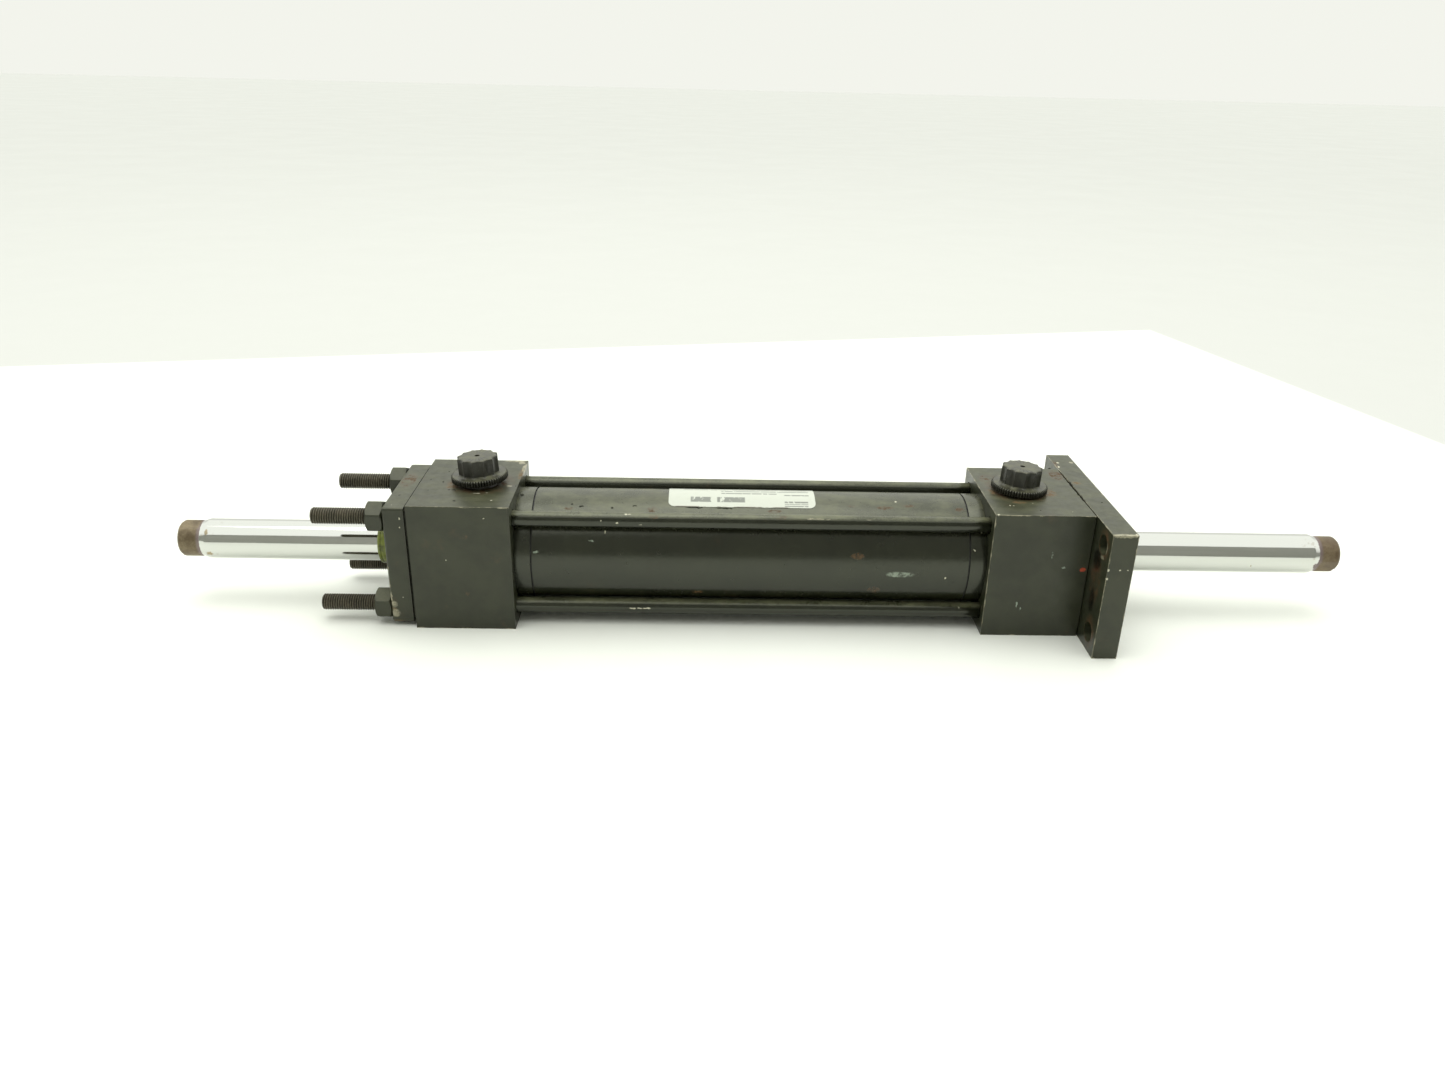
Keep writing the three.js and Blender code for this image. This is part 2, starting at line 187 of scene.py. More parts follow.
def drill(start, end, r, segments=96, matrix=None):
    """A plain cylinder that cuts a hole along X, or along what the matrix turns X to."""
    return turned("tool", [(start, 0), (start, r), (end, r), (end, 0)], segments, matrix=matrix)


def block(name, low, high):
    """A box between two corners."""
    xs, ys, zs = zip(low, high)
    corners = [(x, y, z) for x in xs for y in ys for z in zs]
    faces = [(0, 1, 3, 2), (4, 6, 7, 5), (0, 4, 5, 1), (2, 3, 7, 6), (0, 2, 6, 4), (1, 5, 7, 3)]
    return shape(name, corners, faces)


def settle(obj):
    """Applies the object's modifiers."""
    depsgraph = bpy.context.evaluated_depsgraph_get()
    mesh = bpy.data.meshes.new_from_object(obj.evaluated_get(depsgraph))
    obj.modifiers.clear()
    obj.data = mesh


def carve(obj, tools):
    """Cuts the tools out of the object, and removes them."""
    for tool in tools:
        cut = obj.modifiers.new("cut", "BOOLEAN")
        cut.operation = "DIFFERENCE"
        cut.solver = "EXACT"
        cut.object = tool
        settle(obj)
        bpy.data.objects.remove(tool, do_unlink=True)


def soften(obj, width, groove=()):
    """Rounds the object's edges, cuts the groove, and keeps its flat faces flat in shading."""
    bevel = obj.modifiers.new("edges", "BEVEL")
    bevel.width = width
    bevel.segments = 3
    bevel.limit_method = "ANGLE"
    bevel.angle_limit = math.radians(40)
    bevel.miter_outer = "MITER_ARC"
    settle(obj)
    carve(obj, groove)
    obj.data.shade_smooth()
    obj.data.set_sharp_from_angle(angle=math.radians(50))
    normals = obj.modifiers.new("flat faces", "WEIGHTED_NORMAL")
    normals.keep_sharp = True
    normals.weight = 100


# ---- Node graphs --------------------------------------------------------------------------------


class Graph:
    """A short way to write a node tree."""

    def __init__(self, tree):
        self.tree = tree
        self.tree.nodes.clear()

    def node(self, kind, inputs=None, **settings):
        made = self.tree.nodes.new(kind)
        for key, value in settings.items():
            setattr(made, key, value)
        for key, value in (inputs or {}).items():
            if isinstance(value, bpy.types.NodeSocket):
                self.tree.links.new(value, made.inputs[key])
            else:
                made.inputs[key].default_value = value
        return made

    def calc(self, operation, *values):
        inputs = dict(enumerate(values))
        return self.node("ShaderNodeMath", inputs, operation=operation).outputs[0]

    def vector(self, operation, *values):
        inputs = dict(enumerate(values))
        return self.node("ShaderNodeVectorMath", inputs, operation=operation).outputs

    def times(self, *values):
        """The product of several values."""
        total = values[0]
        for value in values[1:]:
            total = self.calc("MULTIPLY", total, value)
        return total

    def ramp(self, value, low, high, to_low=0.0, to_high=1.0):
        """Smooth step of value from low to high."""
        inputs = {0: value, 1: low, 2: high, 3: to_low, 4: to_high}
        return self.node("ShaderNodeMapRange", inputs, interpolation_type="SMOOTHSTEP").outputs[0]

    def mix(self, factor, one, two):
        inputs = {0: factor, 6: one, 7: two}
        return self.node("ShaderNodeMix", inputs, data_type="RGBA").outputs[2]

    def blend(self, factor, one, two):
        return self.node("ShaderNodeMix", {0: factor, 2: one, 3: two}, data_type="FLOAT").outputs[0]

    def place(self):
        return self.node("ShaderNodeTexCoord").outputs["Object"]

    def noise(self, vector, scale, detail=4.0, roughness=0.55, stretch=None):
        if stretch:
            vector = self.node("ShaderNodeMapping", {0: vector, 3: stretch}).outputs[0]
        inputs = {"Vector": vector, "Scale": scale, "Detail": detail, "Roughness": roughness}
        return self.node("ShaderNodeTexNoise", inputs).outputs["Fac"]

    def cells(self, vector, scale, amount, size):
        """Scattered small dots: one in a share of the cells, size in cells."""
        inputs = {"Vector": vector, "Scale": scale, "Randomness": 1.0}
        voronoi = self.node("ShaderNodeTexVoronoi", inputs)
        chosen = self.node("ShaderNodeSeparateColor", {0: voronoi.outputs["Color"]}).outputs[0]
        near = self.ramp(voronoi.outputs["Distance"], size * 0.6, size, 1.0, 0.0)
        return self.calc("MULTIPLY", near, self.calc("GREATER_THAN", chosen, 1 - amount))

    def axes(self, vector):
        return self.node("ShaderNodeSeparateXYZ", {0: vector}).outputs

    def spots(self, vector, places):
        """The largest of several marks, each a centre and one radius or three, in millimetres."""
        total = None
        for centre, radii in places:
            size = [r * MM for r in (radii * 3)[:3]]
            near = self.node("ShaderNodeMapping", {0: vector, 1: centre, 3: size},
                             vector_type="TEXTURE")
            gap = self.vector("LENGTH", near.outputs[0])["Value"]
            spot = self.ramp(gap, 0.6, 1.0, 1.0, 0.0)
            total = spot if total is None else self.calc("MAXIMUM", total, spot)
        return total

    def ragged(self, vector, scale, reach):
        """The vector pushed about by noise, for uneven outlines."""
        push = self.node("ShaderNodeTexNoise", {"Vector": vector, "Scale": scale}).outputs["Color"]
        push = self.vector("SUBTRACT", push, (0.5, 0.5, 0.5))[0]
        return self.vector("MULTIPLY_ADD", push, (reach, reach, reach), vector)[0]

    def upward(self, low, high):
        """How far the surface faces up, from 0 at low to 1 at high."""
        normal = self.node("ShaderNodeNewGeometry").outputs["Normal"]
        return self.ramp(self.axes(normal)[2], low, high)

    def surface(self, color, roughness, metallic=0.0, height=None, bump=0.1, **fixed):
        """The shader and the output. fixed sets shader inputs that are the same all over."""
        inputs = {"Base Color": color, "Roughness": roughness, "Metallic": metallic, **fixed}
        if height is not None:
            relief = {"Height": height, "Strength": bump, "Distance": 1 * MM}
            inputs["Normal"] = self.node("ShaderNodeBump", relief).outputs[0]
        shader = self.node("ShaderNodeBsdfPrincipled", inputs)
        self.node("ShaderNodeOutputMaterial", {0: shader.outputs[0]})


def material(name):
    made = bpy.data.materials.new(name)
    made.use_nodes = True
    return made, Graph(made.node_tree)


# ---- Materials ----------------------------------------------------------------------------------

ENAMEL = ((0.0165, 0.0190, 0.0090, 1), (0.0270, 0.0300, 0.0150, 1))
GLOSS_ENAMEL = ((0.0040, 0.0048, 0.0018, 1), (0.0090, 0.0102, 0.0045, 1))
ENAMEL_ROUGHNESS = 0.34
# Old glossy paint throws back slightly yellow light.
SATIN = {"Specular IOR Level": 0.5, "Specular Tint": (1.0, 1.0, 0.94, 1)}
GLOSSY = {"Specular IOR Level": 0.72, "Specular Tint": (0.97, 1.0, 0.86, 1)}
CHIP = (0.40, 0.37, 0.26, 1)
# Pale tone of dust on upward faces, which also serves as a painted highlight on tops.
DUST_AND_HIGHLIGHT = (0.198, 0.204, 0.116, 1)
RUST = (0.085, 0.045, 0.020, 1)
# Marks on the paint: colour, how patchy the mark is, and how deep.
MARKS = {
    # Near-black marks: dirt, and painted shade in the seams and gaps between parts.
    "grime_and_painted_shade": ((0.004, 0.004, 0.003, 1), 0.0, 0.0),
    "rust": (RUST, 1.0, 0.0),
    "stain": ((0.15, 0.092, 0.038, 1), 0.8, 0.0),
    "pit": ((0.006, 0.006, 0.005, 1), 0.0, 0.15),
    "fleck": ((0.62, 0.60, 0.46, 1), 0.0, 0.0),
    "chip": (CHIP, 0.7, 0.12),
    "smear": ((0.30, 0.36, 0.29, 1), 1.0, 0.0),
    "red": ((0.50, 0.07, 0.03, 1), 0.4, 0.0),
}
BLACK_MARKS = ("grime_and_painted_shade", "pit")
MATTE_MARKS = ("grime_and_painted_shade", "rust", "stain")
MATTE_ROUGHNESS = 0.85


def rubbed_edges(g, place, box):
    """1 on a box's rubbed edges, whose width varies, and 0 elsewhere."""
    low, high = [Vector(corner) for corner in box]
    offset = g.vector("SUBTRACT", place, (low + high) / 2)[0]
    side = g.vector("ABSOLUTE", offset)[0]
    gaps = g.axes(g.vector("SUBTRACT", (high - low) / 2, side)[0])
    smaller = g.calc("MINIMUM", gaps[0], gaps[1])
    larger = g.calc("MAXIMUM", gaps[0], gaps[1])
    from_edge = g.calc("MAXIMUM", smaller, g.calc("MINIMUM", larger, gaps[2]))
    bite = g.ramp(g.noise(place, 230, 6, 0.65), 0.42, 0.70, 0.06 * MM, 0.46 * MM)
    return g.calc("LESS_THAN", from_edge, bite)


def paint(name, tones, rough, marks=(), box=None, dust_and_highlight=1.0, gloss=SATIN):
    """Worn enamel with marks, dusty on top, where the dust is also a painted highlight. box is the
    (low, high) box whose edges are rubbed.
    """
    made, g = material(name)
    place = g.place()
    speck = g.noise(place, 330, 5, 0.65)
    patchy = g.noise(place, 380, 7, 0.75)
    upward = g.upward(0.5, 0.95)

    color = g.mix(g.ramp(g.noise(place, 60, 5), 0.35, 0.65), *tones)
    # Paler film on upward faces: dust, and a painted highlight where the tops catch the light.
    film = g.ramp(g.noise(place, 140, 8, 0.7, (0.6, 1, 1)), 0.36, 0.72, 0.10 * dust_and_highlight, 0.36 * dust_and_highlight)
    film = g.times(upward, film)
    color = g.mix(film, color, DUST_AND_HIGHLIGHT)
    freckle = g.times(upward, g.cells(place, 420, 0.03, 0.20))
    color = g.mix(g.times(freckle, 0.7), color, MARKS["pit"][0])
    color = g.mix(g.times(g.cells(place, 210, 0.010, 0.10), 0.55), color, MARKS["fleck"][0])
    blush = g.times(g.ramp(g.noise(place, 95, 6, 0.7), 0.60, 0.74), 0.22)
    color = g.mix(blush, color, RUST)

    height = g.times(g.noise(place, 900, 3), 0.05)
    uneven = g.ragged(place, 800, 1.3 * MM)
    black = matte = freckle
    for kind, (tint, patches, depth) in MARKS.items():
        places = [(centre, radii) for marked, centre, radii in marks if marked == kind]
        if not places:
            continue
        mask = g.spots(uneven, places)
        if patches:
            mask = g.times(mask, g.ramp(patchy, 0.38, 0.62, 1 - patches, 1.0))
        color = g.mix(g.times(mask, 0.9), color, tint)
        if kind in BLACK_MARKS:
            black = g.calc("MAXIMUM", black, mask)
        if kind in MATTE_MARKS:
            matte = g.calc("MAXIMUM", matte, mask)
        if depth:
            height = g.calc("SUBTRACT", height, g.times(mask, depth))
    if box:
        worn = rubbed_edges(g, place, box)
        color = g.mix(g.times(worn, g.ramp(speck, 0.35, 0.62, 0.15, 0.75)), color, CHIP)
        height = g.calc("SUBTRACT", height, g.times(worn, 0.08))

    roughness = g.ramp(speck, 0.3, 0.7, rough * 0.85, rough * 1.2)
    roughness = g.calc("ADD", roughness, g.times(film, 0.3))
    roughness = g.calc("MAXIMUM", roughness, g.times(matte, upward, MATTE_ROUGHNESS))
    # A metal as dark as the marks takes the paint's gloss away from them, so pits and the painted
    # shade in seams stay black.
    g.surface(color, roughness, g.times(black, 0.9), height, 0.45, **gloss)
    return made


def head_marks(side, table):
    """(kind, place, radii) of marks on a head or its plate.

    A row is millimetres outwards of the head's inner face, along Y, and above the floor, and then
    the mark's radius or its three radii in millimetres.
    """
    return [(kind, (MIDDLE_X + side * (HEAD_FACE + out * MM), y * MM, z * MM), radii)
            for kind, rows in table.items() for out, y, z, *radii in rows]


def round_marks(table, r, y=0.0, z=0.0):
    """(kind, place, radii) of marks on a tube or rod of radius r, which is (y, z) off the axis.

    A row is millimetres along from the body's middle, and degrees about the axis, and then the
    mark's radius or its three radii in millimetres.
    """
    marks = []
    for kind, rows in table.items():
        for x, degrees, *radii in rows:
            turn = math.radians(degrees)
            place = (MIDDLE_X + x * MM, y - r * math.sin(turn), AXIS_Z + z + r * math.cos(turn))
            marks.append((kind, place, radii))
    return marks


TUBE_MARKS = round_marks({
    "pit": [(-69, 23, 0.8, 0.5, 0.5), (-65.5, 26, 1.0, 0.7, 0.7), (-53.5, 27.5, 0.7),
        (-45, 24.5, 1.0, 0.5, 0.5), (-89, 10, 0.9, 1.2, 0.8)],
    "rust": [(-70, 29, 2.5, 0.8, 0.8), (-38, 29, 2.6, 1.8, 1.8), (9, 29, 4.0, 1.0, 1.0),
        (52, 22, 4.0, 1.2, 1.2), (61, 18.5, 3.0, 1.0, 1.0), (81, 23, 2.2, 1.4, 1.4),
        (39, 20, 2.5, 0.8, 0.8), (40.5, 74.5, 3.2, 1.6, 1.6), (48, 114, 3.0, 2.0, 2.4),
        (-20.5, 121, 3.0, 1.2, 1.2)],
    "grime_and_painted_shade": [(-22, 25.6, 4.0, 0.35, 0.5), (-10, 26.0, 5.0, 0.35, 0.5)],
    "fleck": [(56.5, 12.3, 0.55), (75, 96.5, 0.45), (85.5, 67, 0.4), (-55.8, 54, 0.5)],
    "smear": [(57.5, 93.5, 6.2, 1.5, 1.5), (-61, 63, 1.2, 0.4, 0.4), (-82, 75, 1.6, 0.5, 0.5)],
}, TUBE_R)
TIE_ROD_MARKS = round_marks({
    "chip": [(25, 41, 6.0, 0.35, 0.35), (44, 42, 1.3, 0.4, 0.4)],
    "fleck": [(-47, 20, 1.8, 0.4, 0.4), (-57, 77, 0.4), (-51, 89, 0.45), (-42, 102, 0.9, 0.3, 0.3)],
    "rust": [(-37, 40, 2.2, 1.2, 1.2), (12, 35, 4.0, 1.0, 1.0)],
}, TIE_ROD_R, -TIE_OFFSET, TIE_OFFSET) + round_marks({
    "fleck": [(-42.5, 85, 6.5, 0.35, 0.35), (82, 45, 0.5)],
}, TIE_ROD_R, -TIE_OFFSET, -TIE_OFFSET)
STUD_HEAD_MARKS = head_marks(-1, {
    "rust": [(14.9, 0, 50.8, 15.2, 14.6, 1.0), (17, -25.4, 38.9, 1.3, 1, 1.3),
        (17.4, -25.4, 15.1, 1.0)],
    "stain": [(25.5, -3.5, 50.8, 2.4, 4.0, 1.0), (0.6, 10, 50.5, 1.4, 7, 1.5)],
    "pit": [(25.2, -8.4, 50.8, 0.75, 0.6, 0.6), (23.4, -8.3, 50.8, 0.9, 0.55, 0.6),
        (29.2, -0.1, 50.8, 0.5, 1.3, 0.6), (21.1, -19.4, 50.8, 0.65), (33, -9, 50.8, 0.4),
        (34.5, 2, 50.8, 0.45)],
    "fleck": [(14.3, -11.5, 50.8, 1.7, 0.4, 0.5), (10.6, -11.0, 50.8, 0.7, 0.3, 0.5),
        (3.2, -3.4, 50.8, 1.4, 0.55, 0.5), (7.7, -18.3, 50.8, 0.4), (24.6, -25.4, 29.1, 0.32),
        (9.4, -25.4, 46.3, 0.28)],
    "chip": [(5, 24.6, 50.6, 5.5, 1.3, 1.3), (2.2, 22.5, 50.7, 1.8, 1.5, 1.0),
        (0.2, 16.8, 50.5, 1.2, 6.0, 1.4)],
})
FLANGE_HEAD_MARKS = head_marks(1, {
    "rust": [(14.9, 0, 50.8, 15.4, 14.6, 1.0), (26.3, -3.2, 50.8, 2.4, 3.4, 1.0),
        (6, 12, 50.8, 5, 6, 0.8), (35, 18, 50.8, 3.5, 7, 0.8)],
    "stain": [(26.6, -2.3, 50.8, 3.4, 4.2, 1.0), (12, -12.5, 50.8, 3.2, 1.3, 0.8),
        (4, -1, 50.8, 1.6, 3.5, 0.8)],
    # Painted shade along the top seam with the flange.
    "grime_and_painted_shade": [(37.8, 4, 50.8, 0.5, 22, 0.7)],
    "fleck": [(7.6, -15.8, 50.8, 0.38), (9.0, -15.9, 50.8, 0.35), (17.1, -13.1, 50.8, 0.38),
        (1.2, -24.9, 50.8, 0.8, 0.5, 0.5), (30, -21, 50.8, 0.3)],
    "smear": [(23.3, -25.4, 34.6, 0.3, 1, 1.9), (28.4, -25.4, 29.6, 0.9, 1, 0.4),
        (12.5, -25.4, 13.5, 0.3, 1, 1.6), (14, -25.4, 11.5, 0.3, 1, 1.2)],
    "red": [(36, -25.4, 28.8, 1.5, 1, 1.0)],
})
FLANGE_MARKS = head_marks(1, {
    # Dark marks: the first and last are painted shade along the seam with the head; the two others
    # darken the face beside the head's front corner.
    "grime_and_painted_shade": [(38.1, 0, 25, 0.35, 25.8, 27), (38.2, -32, 36, 0.8, 4.5, 5),
        (38.2, -33, 20, 0.8, 3, 6), (38.3, 5, 50.8, 0.35, 20, 0.7)],
    "rust": [(38.2, -36, 44, 0.8, 6.5, 7), (38.2, -33.5, 28, 0.8, 5.5, 13),
        (38.2, -36, 8, 0.8, 6, 8), (38.2, 36, 30, 0.8, 7, 18), (38.8, 31, 50.7, 1.6, 6, 0.7)],
    "chip": [(38.2, -38.9, 43.6, 0.6, 0.9, 2.6), (38.2, -36, 38.9, 0.6, 2.2, 0.8),
        (38.2, -38.6, 7.2, 0.6, 0.7, 1.8), (42.5, -42.6, 50.6, 6.0, 1.5, 1.0),
        (46, 33.5, 50.7, 1.0, 1.3, 0.7)],
    "stain": [(40.8, 9.4, 50.8, 2.2, 2.0, 0.8)],
    "fleck": [(39.2, 28, 50.7, 0.5, 1.5, 0.5), (40.2, 33, 50.7, 0.8, 0.9, 0.5),
        (40.2, -42.5, 50.7, 1.5, 0.7, 0.5), (44.3, -42.4, 50.7, 1.6, 0.8, 0.5),
        (46.9, -42.2, 50.7, 0.6, 1.2, 0.5), (38.6, -42.8, 36.9, 0.5, 0.5, 0.7),
        (38.6, -42.8, 33.4, 0.55, 0.6, 0.55), (42.8, -42.9, 37.0, 0.5, 0.4, 0.3),
        (45.7, -42.9, 37.0, 0.3, 0.4, 0.3), (42.8, -42.9, 5.4, 0.3)],
})
RETAINER_MARKS = head_marks(-1, {
    # Painted shade in the gap between the head and the plate.
    "grime_and_painted_shade": [(38.2, 0, 25, 1.9, 40, 40)],
    "chip": [(46.2, -23.7, 9.4, 1.6, 1.2, 1.6), (46.0, -23.7, 5.6, 2.0, 1, 2.0),
        (47.4, -23.7, 12.5, 0.9, 1, 2.6), (47.6, -23.7, 17.5, 0.7, 1, 3.0),
        (47.5, -23.7, 24.5, 0.6, 0.9, 1.5)],
    "stain": [(46.6, -23.7, 7.4, 1.4, 1, 0.8), (45, -23.4, 2.2, 3.0, 1.2, 0.8)],
    "fleck": [(40.9, -23.8, 45.0, 0.35, 0.5, 0.5), (41.2, -23.8, 41.6, 0.3, 0.5, 0.4),
        (42.5, -23.8, 12.4, 0.3), (44.2, -20.3, 49.2, 0.38)],
    "pit": [(43.8, -10.6, 49.2, 0.7, 0.7, 0.5)],
    "rust": [(44, 5, 49.2, 3.5, 9, 0.6)],
})

# Stains on the rod: the place and three radii, or one, in millimetres.
ROD_STAINS = [
    ((-218.6 * MM, -ROD_R * 0.75, AXIS_Z + ROD_R * 0.62), (0.8, 1.6, 1.6)),
    ((-218.0 * MM, -ROD_R * 0.88, AXIS_Z - ROD_R * 0.42), (1.6, 1.2, 1.2)),
    ((194.4 * MM, -ROD_R * 0.952, AXIS_Z - ROD_R * 0.305), (0.4,)),
]


CHROME = (0.62, 0.63, 0.60, 1)
HAZY_CHROME = (0.42, 0.38, 0.29, 1)
CHROME_STAIN = (0.30, 0.22, 0.10, 1)
BARE_STEEL = ((0.120, 0.088, 0.048, 1), (0.245, 0.195, 0.115, 1))
STEEL_RUST = (0.055, 0.034, 0.018, 1)
RED_RUST = (0.090, 0.050, 0.028, 1)      # over the flange end only
HEAT_TINT = (0.24, 0.19, 0.22, 1)


def rod_steel():
    """Hard chrome with faint stains, and bare rusty steel outwards of the neck."""
    made, g = material("rod steel")
    place = g.place()
    x, y, z = g.axes(place)
    along = g.calc("ABSOLUTE", x)
    drag = g.noise(place, 900, 4, 0.6, (0.02, 1, 1))
    patch = g.noise(place, 190, 7, 0.7)
    fine = g.noise(place, 1400, 4, 0.6)
    blotch = g.noise(place, 330, 6, 0.7)

    haze = g.ramp(g.noise(place, 160, 7, 0.75), 0.66, 0.80, 0.0, 0.2)
    near_end = g.ramp(along, ROD_NECK - 13 * MM, ROD_NECK - 1 * MM)
    mottled = g.times(g.ramp(blotch, 0.56, 0.72), near_end, 0.5)
    spotted = g.times(g.spots(g.ragged(place, 900, 1.2 * MM), ROD_STAINS), 0.75)
    stain = g.calc("MAXIMUM", mottled, spotted)
    shine = g.mix(stain, g.mix(haze, CHROME, HAZY_CHROME), CHROME_STAIN)

    raw = g.mix(g.ramp(patch, 0.35, 0.65), *BARE_STEEL)
    raw = g.mix(g.ramp(fine, 0.52, 0.75, 0.0, 0.45), raw, STEEL_RUST)
    raw = g.mix(g.ramp(x, 0.0, 0.1, 0.0, 0.32), raw, RED_RUST)
    tinted = g.ramp(along, ROD_NECK + 0.3 * MM, ROD_NECK + 1.6 * MM, 0.55, 0.0)
    raw = g.mix(tinted, raw, HEAT_TINT)

    # The plating has flaked unevenly at the flange end, mostly on its lower side.
    lower = g.ramp(z, AXIS_Z - 4 * MM, AXIS_Z + 2 * MM, 1.0, 0.1)
    flaked = g.times(g.ramp(x, 0.0, 0.1), lower)
    reach = g.times(flaked, g.ramp(blotch, 0.40, 0.66, 0.0, 3.2 * MM))
    edge = g.calc("ADD", along, g.calc("ADD", reach, g.times(fine, 0.7 * MM)))
    bare = g.ramp(edge, ROD_NECK, ROD_NECK + 0.25 * MM)
    # The tapped hole is bare too.
    around = g.node("ShaderNodeCombineXYZ", {1: y, 2: g.calc("SUBTRACT", z, AXIS_Z)}).outputs[0]
    from_axis = g.vector("LENGTH", around)["Value"]
    bare = g.calc("MAXIMUM", bare, g.calc("LESS_THAN", from_axis, ROD_R - 1.5 * MM))

    polished = g.calc("ADD", g.ramp(drag, 0.3, 0.7, 0.06, 0.12), g.times(stain, 0.35))
    rough = g.blend(bare, polished, g.ramp(patch, 0.3, 0.7, 0.42, 0.60))
    height = g.calc("ADD", g.times(bare, g.times(fine, 0.09)), g.times(drag, 0.012))
    metallic = g.ramp(bare, 0.0, 1.0, 1.0, 0.35)
    g.surface(g.mix(bare, shine, raw), rough, metallic, height, 0.5)
    return made


def thread_steel():
    """Dusty black-oxide studs, with a painted highlight on the thread's crests."""
    made, g = material("thread steel")
    place = g.place()
    patch = g.noise(place, 170, 6, 0.65)
    fine = g.noise(place, 1500, 4)
    _, y, z = g.axes(place)
    side = g.calc("SUBTRACT", g.calc("ABSOLUTE", y), TIE_OFFSET)
    above = g.calc("SUBTRACT", g.calc("ABSOLUTE", g.calc("SUBTRACT", z, AXIS_Z)), TIE_OFFSET)
    radius = g.calc("SQRT", g.calc("ADD", g.times(side, side), g.times(above, above)))
    # Painted highlight: the thread's crests are coloured lighter than the roots.
    crest = g.ramp(radius, TIE_ROD_R - 0.28 * MM, TIE_ROD_R - 0.03 * MM)
    crest = g.times(crest, g.ramp(fine, 0.35, 0.65, 0.35, 0.9))
    color = g.mix(g.ramp(patch, 0.38, 0.64), (0.030, 0.027, 0.017, 1), (0.075, 0.064, 0.042, 1))
    color = g.mix(crest, color, (0.21, 0.19, 0.135, 1))
    g.surface(color, g.ramp(patch, 0.3, 0.7, 0.38, 0.52), 0.35, g.times(fine, 0.04), 0.4)
    return made


def plug_plastic():
    """Dusty moulded black plastic with scuffed ribs, the dust on top partly a painted highlight."""
    made, g = material("plug plastic")
    place = g.place()
    smudge = g.noise(place, 260, 7, 0.7)
    # Pale dust on upward faces, which also stands in as a painted highlight on the tops.
    dust_and_highlight = g.times(g.ramp(smudge, 0.35, 0.7, 0.10, 0.65), g.upward(0.3, 0.9))
    scuff = g.times(g.ramp(g.noise(place, 700, 5, 0.7), 0.58, 0.72), 0.35)
    color = g.mix(g.ramp(smudge, 0.3, 0.7), (0.011, 0.0108, 0.0065, 1), (0.024, 0.0235, 0.015, 1))
    color = g.mix(dust_and_highlight, color, (0.175, 0.175, 0.105, 1))
    color = g.mix(scuff, color, (0.12, 0.12, 0.095, 1))
    g.surface(color, g.ramp(smudge, 0.3, 0.7, 0.28, 0.46), 0.0, g.noise(place, 1300, 3), 0.05)
    return made


def wiper_polyurethane():
    """Semi-gloss yellow-green polyurethane with grimy patches."""
    made, g = material("wiper polyurethane")
    grime_and_painted_shade = g.noise(g.place(), 420, 6, 0.65)
    color = g.mix(g.ramp(grime_and_painted_shade, 0.40, 0.68), (0.20, 0.235, 0.045, 1), (0.085, 0.095, 0.022, 1))
    depth = {"Subsurface Weight": 0.15, "Subsurface Scale": 1 * MM,
             "Subsurface Radius": (1.0, 1.0, 0.4)}
    g.surface(color, g.ramp(grime_and_painted_shade, 0.3, 0.7, 0.30, 0.45), 0.0, grime_and_painted_shade, 0.06, **depth)
    return made


def plain(name, dark, light, rough, metallic=0.0, scale=300, stretch=None):
    """Two tones mixed by noise, for inner pieces."""
    made, g = material(name)
    place = g.place()
    tone = g.noise(place, scale, 5, 0.6, stretch)
    fine = g.noise(place, scale * 5, 3)
    color = g.mix(g.ramp(tone, 0.35, 0.65), dark, light)
    g.surface(color, g.ramp(fine, 0.3, 0.7, rough * 0.85, rough * 1.15), metallic, fine, 0.08)
    return made


# Bars on the label: left, right, front and back, as shares of its length and width.
LABEL_BARS = [
    (0.15, 0.29, 0.14, 0.32), (0.33, 0.52, 0.14, 0.32), (0.79, 0.95, 0.03, 0.06),
    (0.79, 0.95, 0.09, 0.11), (0.79, 0.95, 0.14, 0.19), (0.36, 0.74, 0.47, 0.52),
    (0.79, 0.96, 0.41, 0.46), (0.36, 0.96, 0.60, 0.65), (0.10, 0.96, 0.73, 0.77),
    (0.10, 0.96, 0.86, 0.90),
]


def label_print(low, high):
    """White film with plain grey bars where print would be, and a dirty front edge."""
    made, g = material("label film")
    place = g.place()
    x, y, _ = g.axes(place)
    along = g.calc("DIVIDE", g.calc("SUBTRACT", x, low.x), high.x - low.x)
    across = g.calc("DIVIDE", g.calc("SUBTRACT", y, low.y), high.y - low.y)

    def between(value, start, end, soft):
        rise = g.ramp(value, start - soft, start + soft)
        return g.times(rise, g.ramp(value, end - soft, end + soft, 1.0, 0.0))

    ink = None
    for left, right, front, back in LABEL_BARS:
        bar = g.times(between(along, left, right, 0.004), between(across, front, back, 0.008))
        ink = bar if ink is None else g.calc("MAXIMUM", ink, bar)
    broken = g.ramp(g.noise(place, 900, 2, 0.5, (1, 0.2, 1)), 0.36, 0.44)
    grime_and_painted_shade = g.ramp(g.noise(place, 300, 6, 0.7), 0.52, 0.8, 0.0, 0.5)
    patches = g.ramp(g.noise(place, 160, 5), 0.46, 0.58)
    edge = g.times(g.ramp(across, 0.005, 0.03, 0.9, 0.0), patches)
    color = g.mix(g.times(ink, broken, 0.8), (0.60, 0.63, 0.55, 1), (0.13, 0.14, 0.125, 1))
    color = g.mix(g.times(grime_and_painted_shade, 0.3), color, (0.36, 0.34, 0.25, 1))
    color = g.mix(edge, color, (0.10, 0.075, 0.045, 1))
    g.surface(color, g.ramp(grime_and_painted_shade, 0.0, 0.5, 0.32, 0.5), 0.0, grime_and_painted_shade, 0.05)
    return made


# ---- Pieces -------------------------------------------------------------------------------------


def show(obj, node, *materials):
    """The object stands for a CAD node, rides on its body and takes the materials."""
    for each in materials:
        obj.data.materials.append(each)
    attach(obj, BODY_OF[node])
    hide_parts(node)


